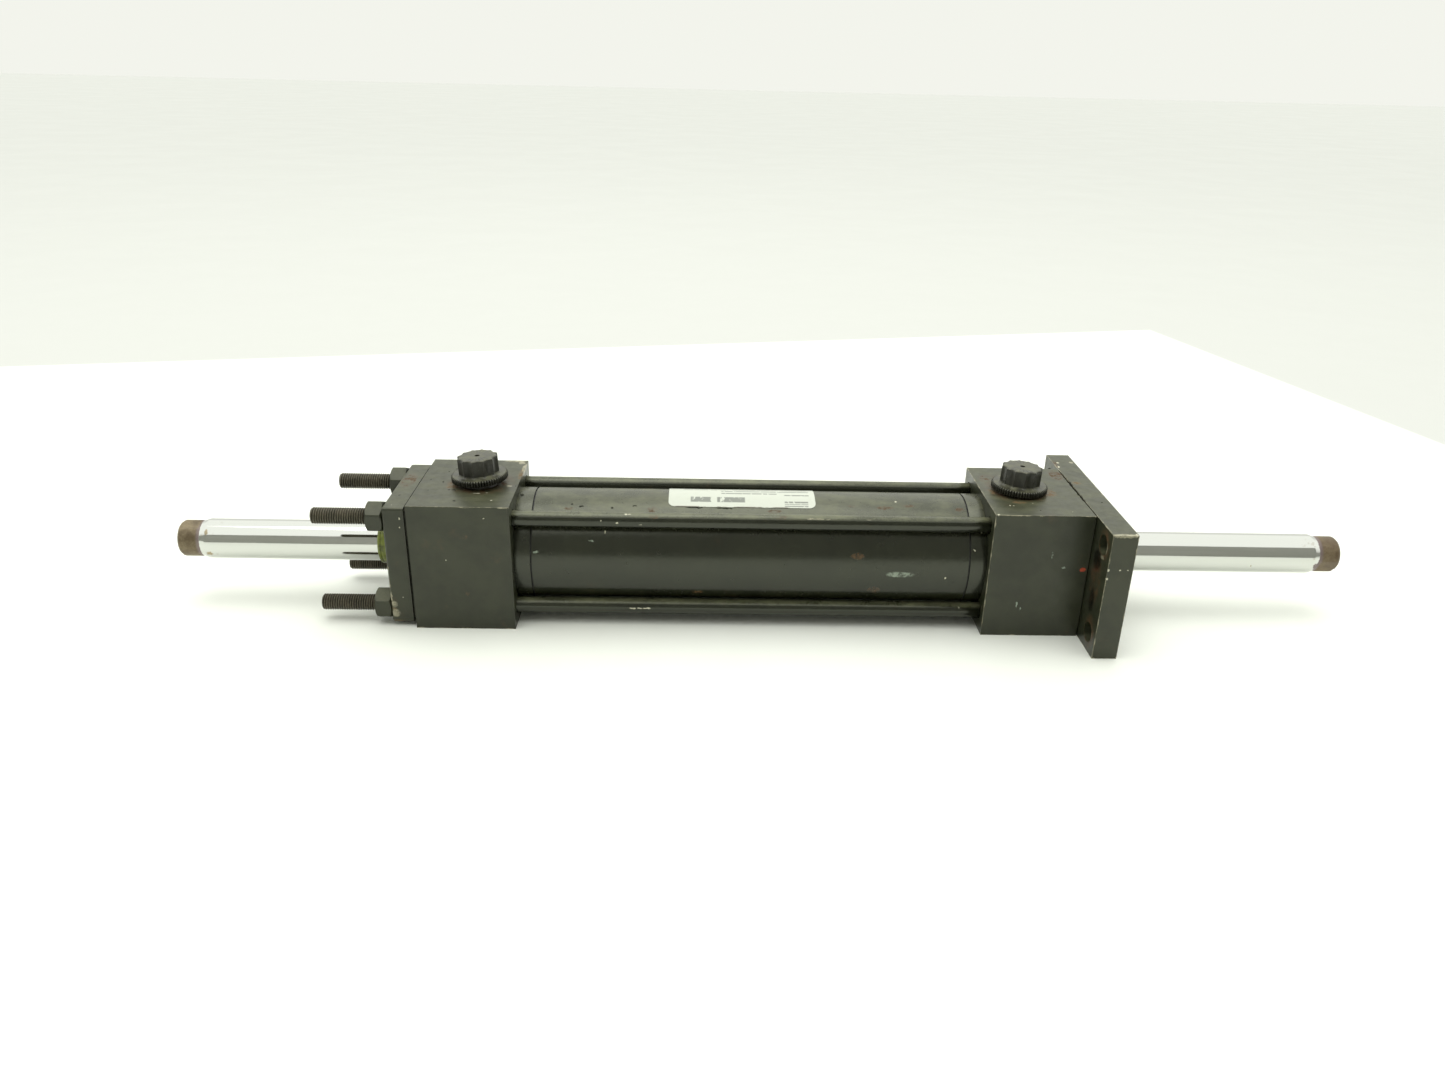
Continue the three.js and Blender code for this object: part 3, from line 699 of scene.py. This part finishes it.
def refinish(node, finish):
    """Gives a CAD node that stays visible a better material."""
    slots = frame["nodes"][node].data.materials
    slots.clear()
    slots.append(finish)


def end_matrix(side):
    """From a head's own frame (0 on its inner face, +X outwards, axis at 0) to the shared one."""
    turn = Matrix.Rotation(0 if side > 0 else math.pi, 4, "Z")
    return Matrix.Translation((MIDDLE_X + side * HEAD_FACE, 0, AXIS_Z)) @ turn


def tie_holes(start, end):
    return [drill(start, end, TIE_HOLE_R, 48, Matrix.Translation((0, y, z))) for y, z in TIE_PLACES]


def rebate(start, end, width, height, depth):
    """Tools that cut a groove all round a square-edged piece, from start to end along it."""
    y, z, far = width / 2 - depth, height / 2 - depth, 3 * INCH
    spans = [(y, far, -far, far), (-far, -y, -far, far), (-far, far, z, far), (-far, far, -far, -z)]
    return [block("tool", (start, y0, z0), (end, y1, z1)) for y0, y1, z0, z1 in spans]


def head(side, node):
    """A square head without its boss."""
    half = HEAD_SIDE / 2
    body = block(f"{node}_block", (0, -half, -half), (HEAD_LENGTH, half, half))
    upright = Matrix.Translation((PORT_U, 0, 0)) @ Matrix.Rotation(-math.pi / 2, 4, "Y")
    port = drill(8 * MM, half + OVER, PORT_R, matrix=upright)
    chamber = drill(-OVER, GLAND_POCKET_U + OVER, CHAMBER_R)
    pocket = drill(GLAND_POCKET_U, HEAD_LENGTH + OVER, GLAND_R)
    carve(body, [chamber, pocket, port, *tie_holes(-OVER, HEAD_LENGTH + OVER)])
    # A fine dark seam shows between the flange end's head and its flange.
    seam = ()
    if side > 0:
        seam = rebate(HEAD_LENGTH - 0.40 * MM, HEAD_LENGTH + OVER, HEAD_SIDE, HEAD_SIDE, 0.8 * MM)
    soften(body, 0.5 * MM, seam)
    body.data.transform(end_matrix(side))
    return body


def boss(side, node):
    """The round shoulder that carries the tube, with its spigot."""
    lip = 20.2 * MM
    spigot = BOSS_LENGTH + 3 * MM
    outline = [(0.05 * MM, BORE_R), (0.05 * MM, TUBE_R), (-BOSS_LENGTH, TUBE_R),
               (-BOSS_LENGTH, lip), (-spigot, lip), (-spigot, BORE_R)]
    outline = eased(outline, 0.18 * MM, True)
    return turned(f"{node}_boss", outline, 160, True, matrix=end_matrix(side))


def plate(side, node, width, height, edge, bolts=(), groove=()):
    """A flat plate on a head's outer face, with its holes."""
    low = (HEAD_LENGTH + GAP, -width / 2, -height / 2)
    body = block(f"{node}_block", low, (OUTER_U, width / 2, height / 2))
    start, end = HEAD_LENGTH, OUTER_U + OVER
    bolt_holes = [drill(start, end, BOLT_HOLE_R, 64, Matrix.Translation((0, y, z)))
                  for y, z in bolts]
    neck = drill(start, end, GLAND_NECK_R + 0.3 * MM)
    carve(body, [neck, *tie_holes(start, end), *bolt_holes])
    soften(body, edge, groove)
    body.data.transform(end_matrix(side))
    return body


def thread_form(phase):
    """0 at a thread's crest and 1 at its root, for a phase in turns."""
    rise = abs(2 * (phase % 1.0) - 1)
    return min(1.0, max(0.0, (rise - 0.12) / 0.68))


def thread_rings(start, end, pitch, r, per_turn):
    """Points of an outline that is fine enough to carry a thread."""
    count = max(2, round(abs(end - start) / pitch * per_turn))
    return [(start + (end - start) * k / count, r) for k in range(count + 1)]


def tie_rod(index, y, z, steel, coat):
    """A painted rod whose threaded end is bare outwards of the head."""
    node = f"tie_rod_{index}"
    low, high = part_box(node)
    thread_end = stud_head_low.x + 4 * MM
    shank_r = TIE_ROD_R - 0.12 * MM
    crown = 0.9 * MM
    depth = 0.50 * MM
    outline = [(low.x, 0), *thread_rings(low.x, thread_end, TIE_PITCH, TIE_ROD_R, 9),
               (thread_end + 1 * MM, shank_r), (high.x - 0.5 * MM, shank_r),
               (high.x, TIE_ROD_R - 0.6 * MM), (high.x, 0)]

    def ripple(x, r, angle):
        if x > thread_end:
            return r
        cut = r - depth * thread_form(x / TIE_PITCH + angle / math.tau + index * 0.3)
        into = min(1.0, (x - low.x) / crown)
        return min(cut, TIE_ROD_R - crown + crown * math.sqrt(1 - (1 - into) ** 2))

    piece = turned(f"{node}_stud", outline, 40, ripple=ripple, sharp=60,
                   matrix=Matrix.Translation((0, y, AXIS_Z + z)))
    show(piece, node, coat, steel)
    for face in piece.data.polygons:
        face.material_index = int(face.center.x < stud_head_low.x)


def nut(index, y, z, coat):
    """A hexagon nut with its corners chamfered at both ends."""
    node = f"tie_rod_nut_{index}"
    low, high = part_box(node)
    corner = NUT_FLAT / math.cos(math.pi / 6)
    bore = TIE_ROD_R + 0.12 * MM
    countersink = bore + 0.3 * MM
    chamfer = 0.75 * MM
    drop = corner - NUT_FLAT * 0.96
    slope = [(low.x + chamfer * (k / 6) ** 1.2, corner - drop * (1 - k / 6)) for k in range(7)]
    back = [(high.x - (x - low.x), r) for x, r in reversed(slope)]
    outline = [(low.x, countersink), *slope, *back, (high.x, countersink),
               (high.x - 0.4 * MM, bore), (low.x + 0.4 * MM, bore)]

    def ripple(x, r, angle):
        turn = (angle + NUT_TURNS[index - 1]) % (math.pi / 3) - math.pi / 6
        return min(r, NUT_FLAT / math.cos(turn))

    piece = turned(f"{node}_hexagon", outline, 96, closed=True, ripple=ripple, sharp=25,
                   matrix=Matrix.Translation((0, y, AXIS_Z + z)))
    show(piece, node, coat)


def tube(coat):
    """The barrel, with a counterbore at each end over the heads' spigots."""
    end = tube_high.x - MIDDLE_X + 0.12 * MM
    lap = 20.5 * MM
    step = end - 2.9 * MM
    outline = [(-end, lap), (-end, TUBE_R), (end, TUBE_R), (end, lap), (step, lap),
               (step, BORE_R), (-step, BORE_R), (-step, lap)]
    piece = turned("barrel_tube_shell", eased(outline, 0.18 * MM, True), 160, True,
                   matrix=Matrix.Translation((MIDDLE_X, 0, AXIS_Z)))
    show(piece, "barrel_tube", coat)


def label():
    low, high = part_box("rating_label")
    length = high.x - low.x
    inner = TUBE_R + 0.05 * MM
    outer = TUBE_R + 0.15 * MM
    half = math.asin(high.y / outer) * outer
    corner = 2.6 * MM
    columns = 72
    rows = 24
    verts = []
    for r in (inner, outer):
        for i in range(columns + 1):
            x = low.x + length * (1 - math.cos(math.pi * i / columns)) / 2
            into = min(x - low.x, high.x - x, corner)
            reach = half - corner + math.sqrt(max(0.0, corner ** 2 - (corner - into) ** 2))
            for j in range(rows + 1):
                angle = (2 * j / rows - 1) * reach / outer
                verts.append((x, -r * math.sin(angle), AXIS_Z + r * math.cos(angle)))
    layer = (columns + 1) * (rows + 1)
    faces = []
    for i in range(columns):
        for j in range(rows):
            a = i * (rows + 1) + j
            quad = (a, a + rows + 1, a + rows + 2, a + 1)
            faces.append(quad)
            faces.append(tuple(layer + v for v in quad))
    rim = [i * (rows + 1) for i in range(columns + 1)]
    rim += [columns * (rows + 1) + j for j in range(1, rows + 1)]
    rim += [i * (rows + 1) + rows for i in range(columns - 1, -1, -1)]
    rim += [j for j in range(rows - 1, 0, -1)]
    for one, two in zip(rim, rim[1:] + rim[:1]):
        faces.append((one, two, layer + two, layer + one))
    show(shape("rating_label_film", verts, faces), "rating_label", label_print(low, high))


def gland(side, node, bronze):
    """The bronze bush that guides the rod, with grooves for its seal and O-ring."""
    start = GLAND_POCKET_U + GAP
    shoulder = HEAD_LENGTH - GAP
    body = GLAND_R - 0.3 * MM
    ring, ring_start, ring_end = 12 * MM, start + 7.6 * MM, start + 10.4 * MM
    seal, seal_start, seal_end = 11.4 * MM, start + 2 * MM, start + 7 * MM
    seat, seat_u = 9.9 * MM, OUTER_U - 5 * MM
    bore = ROD_R + 0.12 * MM
    outline = [(start, bore), (start, body), (ring_start, body), (ring_start, ring),
               (ring_end, ring), (ring_end, body), (shoulder, body), (shoulder, GLAND_NECK_R),
               (OUTER_U, GLAND_NECK_R), (OUTER_U, seat), (seat_u, seat), (seat_u, bore),
               (seal_end, bore), (seal_end, seal), (seal_start, seal), (seal_start, bore)]
    outline = eased(outline, 0.25 * MM, True)
    show(turned(f"{node}_bush", outline, 96, True, matrix=end_matrix(side)), node, bronze)


def wiper(side, node, polyurethane):
    """The rod wiper, whose lip stands out of the plate around the rod."""
    foot, foot_r = OUTER_U - 4.9 * MM, 9.7 * MM
    tip = OUTER_U + 7.6 * MM
    nose = 8.9 * MM
    bore = ROD_R + 0.05 * MM
    outline = [(foot, bore), (foot, foot_r), (OUTER_U - 0.2 * MM, foot_r),
               (OUTER_U + 0.2 * MM, nose), (tip - 1.9 * MM, nose),
               (tip - 1.5 * MM, nose - 0.25 * MM), (tip - 1.1 * MM, nose),
               (tip - 0.3 * MM, nose - 0.1 * MM), (tip, nose - 0.5 * MM), (tip, bore)]
    outline = eased(outline, 0.2 * MM, True)
    show(turned(f"{node}_lip", outline, 96, True, matrix=end_matrix(side)), node, polyurethane)


def piston_rod(end, side, steel):
    """One half of the rod: chromed shank, neck, wrench flats and tapped hole."""
    node = f"piston_rod_{end}"
    tip, neck, end_r = rod_high.x, ROD_NECK, ROD_END_R
    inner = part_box("piston")[1].x + GAP
    hole = tip - ROD_TAP_DEPTH
    tap_start, tap_end = tip - 0.9 * MM, hole + 3 * MM
    pitch = INCH / 20
    outside = [(inner, ROD_R), (neck - 2.4 * MM, ROD_R), (neck, end_r),
               (neck + 0.3 * MM, end_r), (tip - 0.9 * MM, end_r), (tip, end_r - 0.7 * MM)]
    inside = [(tip, ROD_TAP_R + 0.8 * MM), (tip - 0.8 * MM, ROD_TAP_R),
              *thread_rings(tap_start, tap_end, pitch, ROD_TAP_R, 10),
              (hole, ROD_TAP_R), (hole - 2.5 * MM, 0)]
    core = [(inner, 0)]
    if side < 0:
        # This half's stud goes through the piston.
        stud, stud_r = inner - 15 * MM, 5.2 * MM
        core = [(stud, 0), (stud, stud_r), (inner, stud_r)]
    outline = [*core, *eased(outside, 0.35 * MM), *inside]

    def ripple(x, r, angle):
        if x > neck + 0.2 * MM and r > end_r - 1 * MM:
            turn = math.cos(angle - FLAT_TURNS[end])
            return min(r, ROD_FLAT / max(abs(turn), 0.5))
        if tap_end < x < tip - 0.85 * MM and r < ROD_TAP_R + GAP:
            return r + 0.6 * MM * (1 - thread_form(x / pitch + side * angle / math.tau))
        return r

    turn = Matrix.Identity(4) if side > 0 else Matrix.Scale(-1, 4, (1, 0, 0))
    piece = turned(f"{node}_shank", outline, 144, ripple=ripple, sharp=28,
                   matrix=Matrix.Translation((0, 0, AXIS_Z)) @ turn)
    show(piece, node, steel)


def port_plug(end, side, plastic):
    """Threaded plug, by heights from the head's top face: stem, ribbed rim and fluted grip."""
    node = f"port_plug_{end}"
    tilt = PLUG_TILT[end]
    _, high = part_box(node)
    seat = high.z - PLUG_TOP * math.cos(tilt) - PLUG_GRIP_R * math.sin(tilt)
    pitch = INCH / 18
    rim_r, rim_low, rim_top = PLUG_RIM_R, 0.8 * MM, 3.2 * MM
    grip_r, top = PLUG_GRIP_R, PLUG_TOP
    foot, steps = -8 * MM, 45
    stem = [(k * pitch / 9 + foot, 6.75 * MM + 0.4 * MM * k / steps) for k in range(steps + 1)]
    rim = [(-0.4 * MM, 6.8 * MM), (rim_low, 6.8 * MM), (rim_low, rim_r - 0.3 * MM),
           (rim_low + 0.2 * MM, rim_r), (rim_top - 0.4 * MM, rim_r),
           (rim_top - 0.1 * MM, rim_r - 0.3 * MM), (rim_top, rim_r - 0.7 * MM),
           (rim_top, grip_r + 0.6 * MM), (rim_top + 0.2 * MM, grip_r + 0.2 * MM),
           (rim_top + 0.6 * MM, grip_r)]
    grip = [(rim_top + 1.2 * MM + k * 0.7 * MM, grip_r) for k in range(7)]
    crown = [(top - 0.7 * MM, grip_r), (top - 0.25 * MM, grip_r - 0.15 * MM),
             (top - 0.04 * MM, grip_r - 0.5 * MM), (top, grip_r - 1.3 * MM), (top, 1.0 * MM),
             (top - 1.2 * MM, 0.75 * MM), (top - 1.4 * MM, 0)]
    ridge = math.radians(26)

    def ripple(z, r, angle):
        if z < -0.5 * MM:
            return r - 0.45 * MM * thread_form(z / pitch + angle / math.tau)
        if r > rim_r - 0.5 * MM and z < rim_top:
            return r - 0.70 * MM * (0.5 - 0.5 * math.cos(PLUG_RIM_RIBS * angle)) ** 1.5
        if z > rim_top + 0.2 * MM and r > grip_r - 1.2 * MM:
            return r - 0.92 * MM * abs(math.sin(PLUG_FLUTES / 2 * (angle - ridge))) ** 0.85
        return r

    middle = MIDDLE_X + side * (HEAD_FACE + PORT_U)
    lean = Matrix.Rotation(side * tilt, 4, "Y") @ Matrix.Rotation(-math.pi / 2, 4, "Y")
    piece = turned(f"{node}_cap", [(foot, 0), *stem, *rim, *grip, *crown], 480, ripple=ripple,
                   sharp=38, matrix=Matrix.Translation((middle, 0, seat)) @ lean)
    show(piece, node, plastic)


# ---- Camera, light and floor --------------------------------------------------------------------

CAMERA_PLACE = (-26.67 * MM, -401.84 * MM, 207.35 * MM)
CAMERA_YAW = math.radians(1.387)
CAMERA_PITCH = math.radians(24.186)
CAMERA_ROLL = math.radians(1.383)
CAMERA_LENS = 27.42

SOFTBOX_PLACE = (-0.1, 0.15, 1.6)
SOFTBOX_SIZE = (1.4, 1.0)
SOFTBOX_POWER = 9
FLAG_Y = -1.6
FLAG_TOP = [(-4.0, 1.5), (-0.79, 1.55), (1.0, 2.45), (4.0, 2.9)]     # (x, z) along its top edge
FLOOR_REACH = 6


def add_camera():
    yaw, pitch, roll = CAMERA_YAW, CAMERA_PITCH, CAMERA_ROLL
    ahead = Vector((math.sin(yaw) * math.cos(pitch), math.cos(yaw) * math.cos(pitch),
                    -math.sin(pitch)))
    level = Vector((math.cos(yaw), -math.sin(yaw), 0))
    upright = level.cross(ahead)
    right = level * math.cos(roll) + upright * math.sin(roll)
    up = upright * math.cos(roll) - level * math.sin(roll)
    data = bpy.data.cameras.new("camera")
    data.lens = CAMERA_LENS
    data.sensor_width = 36
    data.clip_start = 0.01
    camera = bpy.data.objects.new("camera", data)
    turn = Matrix((right, up, -ahead)).transposed().to_4x4()
    camera.matrix_world = Matrix.Translation(CAMERA_PLACE) @ turn
    bpy.context.scene.collection.objects.link(camera)
    bpy.context.scene.camera = camera


def add_world():
    """Even white surroundings, a little dimmer near the horizon."""
    world = bpy.data.worlds.new("studio")
    bpy.context.scene.world = world
    world.use_nodes = True
    g = Graph(world.node_tree)
    _, _, z = g.axes(g.node("ShaderNodeTexCoord").outputs["Generated"])
    color = g.mix(g.ramp(z, 0.22, 0.55), (0.64, 0.647, 0.60, 1), (0.985, 1.0, 0.945, 1))
    background = g.node("ShaderNodeBackground", {"Color": color, "Strength": 1.4})
    g.node("ShaderNodeOutputWorld", {0: background.outputs[0]})


def add_softbox():
    data = bpy.data.lights.new("overhead softbox", "AREA")
    data.shape = "RECTANGLE"
    data.size, data.size_y = SOFTBOX_SIZE
    data.energy = SOFTBOX_POWER
    data.color = (1.0, 1.0, 0.96)
    light = bpy.data.objects.new("overhead softbox", data)
    light.location = SOFTBOX_PLACE
    aim = Vector((0, 0, 0)) - Vector(SOFTBOX_PLACE)
    light.rotation_euler = aim.to_track_quat("-Z", "Y").to_euler()
    bpy.context.scene.collection.objects.link(light)


def add_flag():
    """A grey studio flag on the camera's side, which gloss and chrome show as a dark band."""
    made, g = material("flag cloth")
    color = g.mix(g.noise(g.place(), 3), (0.30, 0.30, 0.28, 1), (0.38, 0.38, 0.35, 1))
    g.surface(color, g.noise(g.place(), 5))
    verts = [(x, FLAG_Y, z) for x, z in FLAG_TOP] + [(x, FLAG_Y, 0.0) for x, _ in FLAG_TOP]
    count = len(FLAG_TOP)
    panels = [(k, k + 1, k + 1 + count, k + count) for k in range(count - 1)]
    flag = shape("flag", verts, panels)
    flag.data.materials.append(made)
    flag.visible_camera = False


def add_floor():
    """A wide pale floor, a little greyer beyond the table's far edges."""
    made, g = material("floor")
    place = g.place()
    x, y, _ = g.axes(place)
    tone = g.noise(place, 9, 6, 0.6)
    color = g.mix(g.ramp(tone, 0.3, 0.7), (0.92, 0.94, 0.88, 1), (0.94, 0.96, 0.91, 1))
    behind = g.calc("SUBTRACT", y, g.times(x, 0.204))
    beside = g.calc("ADD", x, g.times(y, 0.2465))
    beyond = g.calc("MAXIMUM", g.ramp(behind, 0.431, 0.435), g.ramp(beside, 0.470, 0.474))
    color = g.mix(beyond, color, (0.62, 0.628, 0.60, 1))
    g.surface(color, g.ramp(tone, 0.3, 0.7, 0.5, 0.65))
    far = FLOOR_REACH
    floor = shape("floor", [(-far, -far, 0), (far, -far, 0), (far, far, 0), (-far, far, 0)],
                  [(0, 1, 2, 3)])
    floor.data.materials.append(made)


# ---- Everything together ------------------------------------------------------------------------


def rubbed_box(side):
    """The box whose edges are rubbed on a head. It runs on past the ends that haven't rubbed."""
    half = HEAD_SIDE / 2
    past = 8 * MM
    near = HEAD_FACE if side > 0 else HEAD_FACE - past
    far = HEAD_FACE + HEAD_LENGTH + past
    ends = sorted((MIDDLE_X + side * near, MIDDLE_X + side * far))
    return (ends[0], -half, AXIS_Z - half), (ends[1], half, AXIS_Z + half)


def build():
    add_camera()
    add_world()
    add_softbox()
    add_flag()
    add_floor()

    # The heavy dust on the tube and tie rods is partly a painted highlight along their tops, mostly
    # so on the tie rods.
    tube_coat = paint("paint on tube", GLOSS_ENAMEL, 0.23, TUBE_MARKS, dust_and_highlight=1.3, gloss=GLOSSY)
    tie_coat = paint("paint on tie rods", GLOSS_ENAMEL, 0.20, TIE_ROD_MARKS, dust_and_highlight=2.15,
                     gloss=GLOSSY)
    nut_coat = paint("paint on nuts", ENAMEL, ENAMEL_ROUGHNESS, dust_and_highlight=1.4)
    head_coats = {
        "stud_end": paint("paint on stud end head", ENAMEL, ENAMEL_ROUGHNESS, STUD_HEAD_MARKS,
                          rubbed_box(-1), dust_and_highlight=0.85),
        "flange_end": paint("paint on flange end head", ENAMEL, ENAMEL_ROUGHNESS,
                            FLANGE_HEAD_MARKS, rubbed_box(1)),
    }
    steel, bright = thread_steel(), rod_steel()
    bronze = plain("bronze", (0.20, 0.13, 0.055, 1), (0.34, 0.24, 0.11, 1), 0.4, 0.85, 500,
                   (1, 0.05, 0.05))
    seal = plain("seal rubber", (0.008, 0.008, 0.008, 1), (0.02, 0.02, 0.019, 1), 0.6)
    aluminium = plain("turned aluminium", (0.52, 0.53, 0.53, 1), (0.66, 0.67, 0.67, 1), 0.35,
                      0.9, 900, (1, 0.02, 0.02))
    filled = plain("filled plastic", (0.45, 0.42, 0.33, 1), (0.56, 0.53, 0.43, 1), 0.5)
    plastic, polyurethane = plug_plastic(), wiper_polyurethane()

    tube(tube_coat)
    label()
    for index, (y, z) in enumerate(TIE_PLACES, 1):
        tie_rod(index, y, z, steel, tie_coat)
        nut(index, y, z, nut_coat)
    for end, side in (("flange_end", 1), ("stud_end", -1)):
        node = f"head_{end}"
        show(head(side, node), node, head_coats[end])
        show(boss(side, node), node, tube_coat)
        gland(side, f"rod_gland_{end}", bronze)
        wiper(side, f"rod_wiper_{end}", polyurethane)
        piston_rod(end, side, bright)
        port_plug(end, side, plastic)
        for inner in ("gland_o_ring", "rod_seal", "tube_end_seal", "piston_seal"):
            refinish(f"{inner}_{end}", seal)
    refinish("piston_static_seal", seal)
    refinish("piston", aluminium)
    refinish("piston_wear_ring", filled)

    node = "mounting_flange"
    flange = plate(1, node, FLANGE_WIDTH, HEAD_SIDE, 0.45 * MM, BOLT_PLACES)
    show(flange, node, paint("paint on flange", ENAMEL, ENAMEL_ROUGHNESS, FLANGE_MARKS,
                             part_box(node)))
    node = "retainer_plate"
    # The retainer stands off the head a little, which leaves a dark gap.
    gap = rebate(HEAD_LENGTH, HEAD_LENGTH + 1.30 * MM, RETAINER_SIDE, RETAINER_SIDE, 1.3 * MM)
    retainer = plate(-1, node, RETAINER_SIDE, RETAINER_SIDE, 1.0 * MM, groove=gap)
    show(retainer, node, paint("paint on retainer", ENAMEL, ENAMEL_ROUGHNESS, RETAINER_MARKS))


build()
bpy.context.scene.view_settings.view_transform = "Standard"
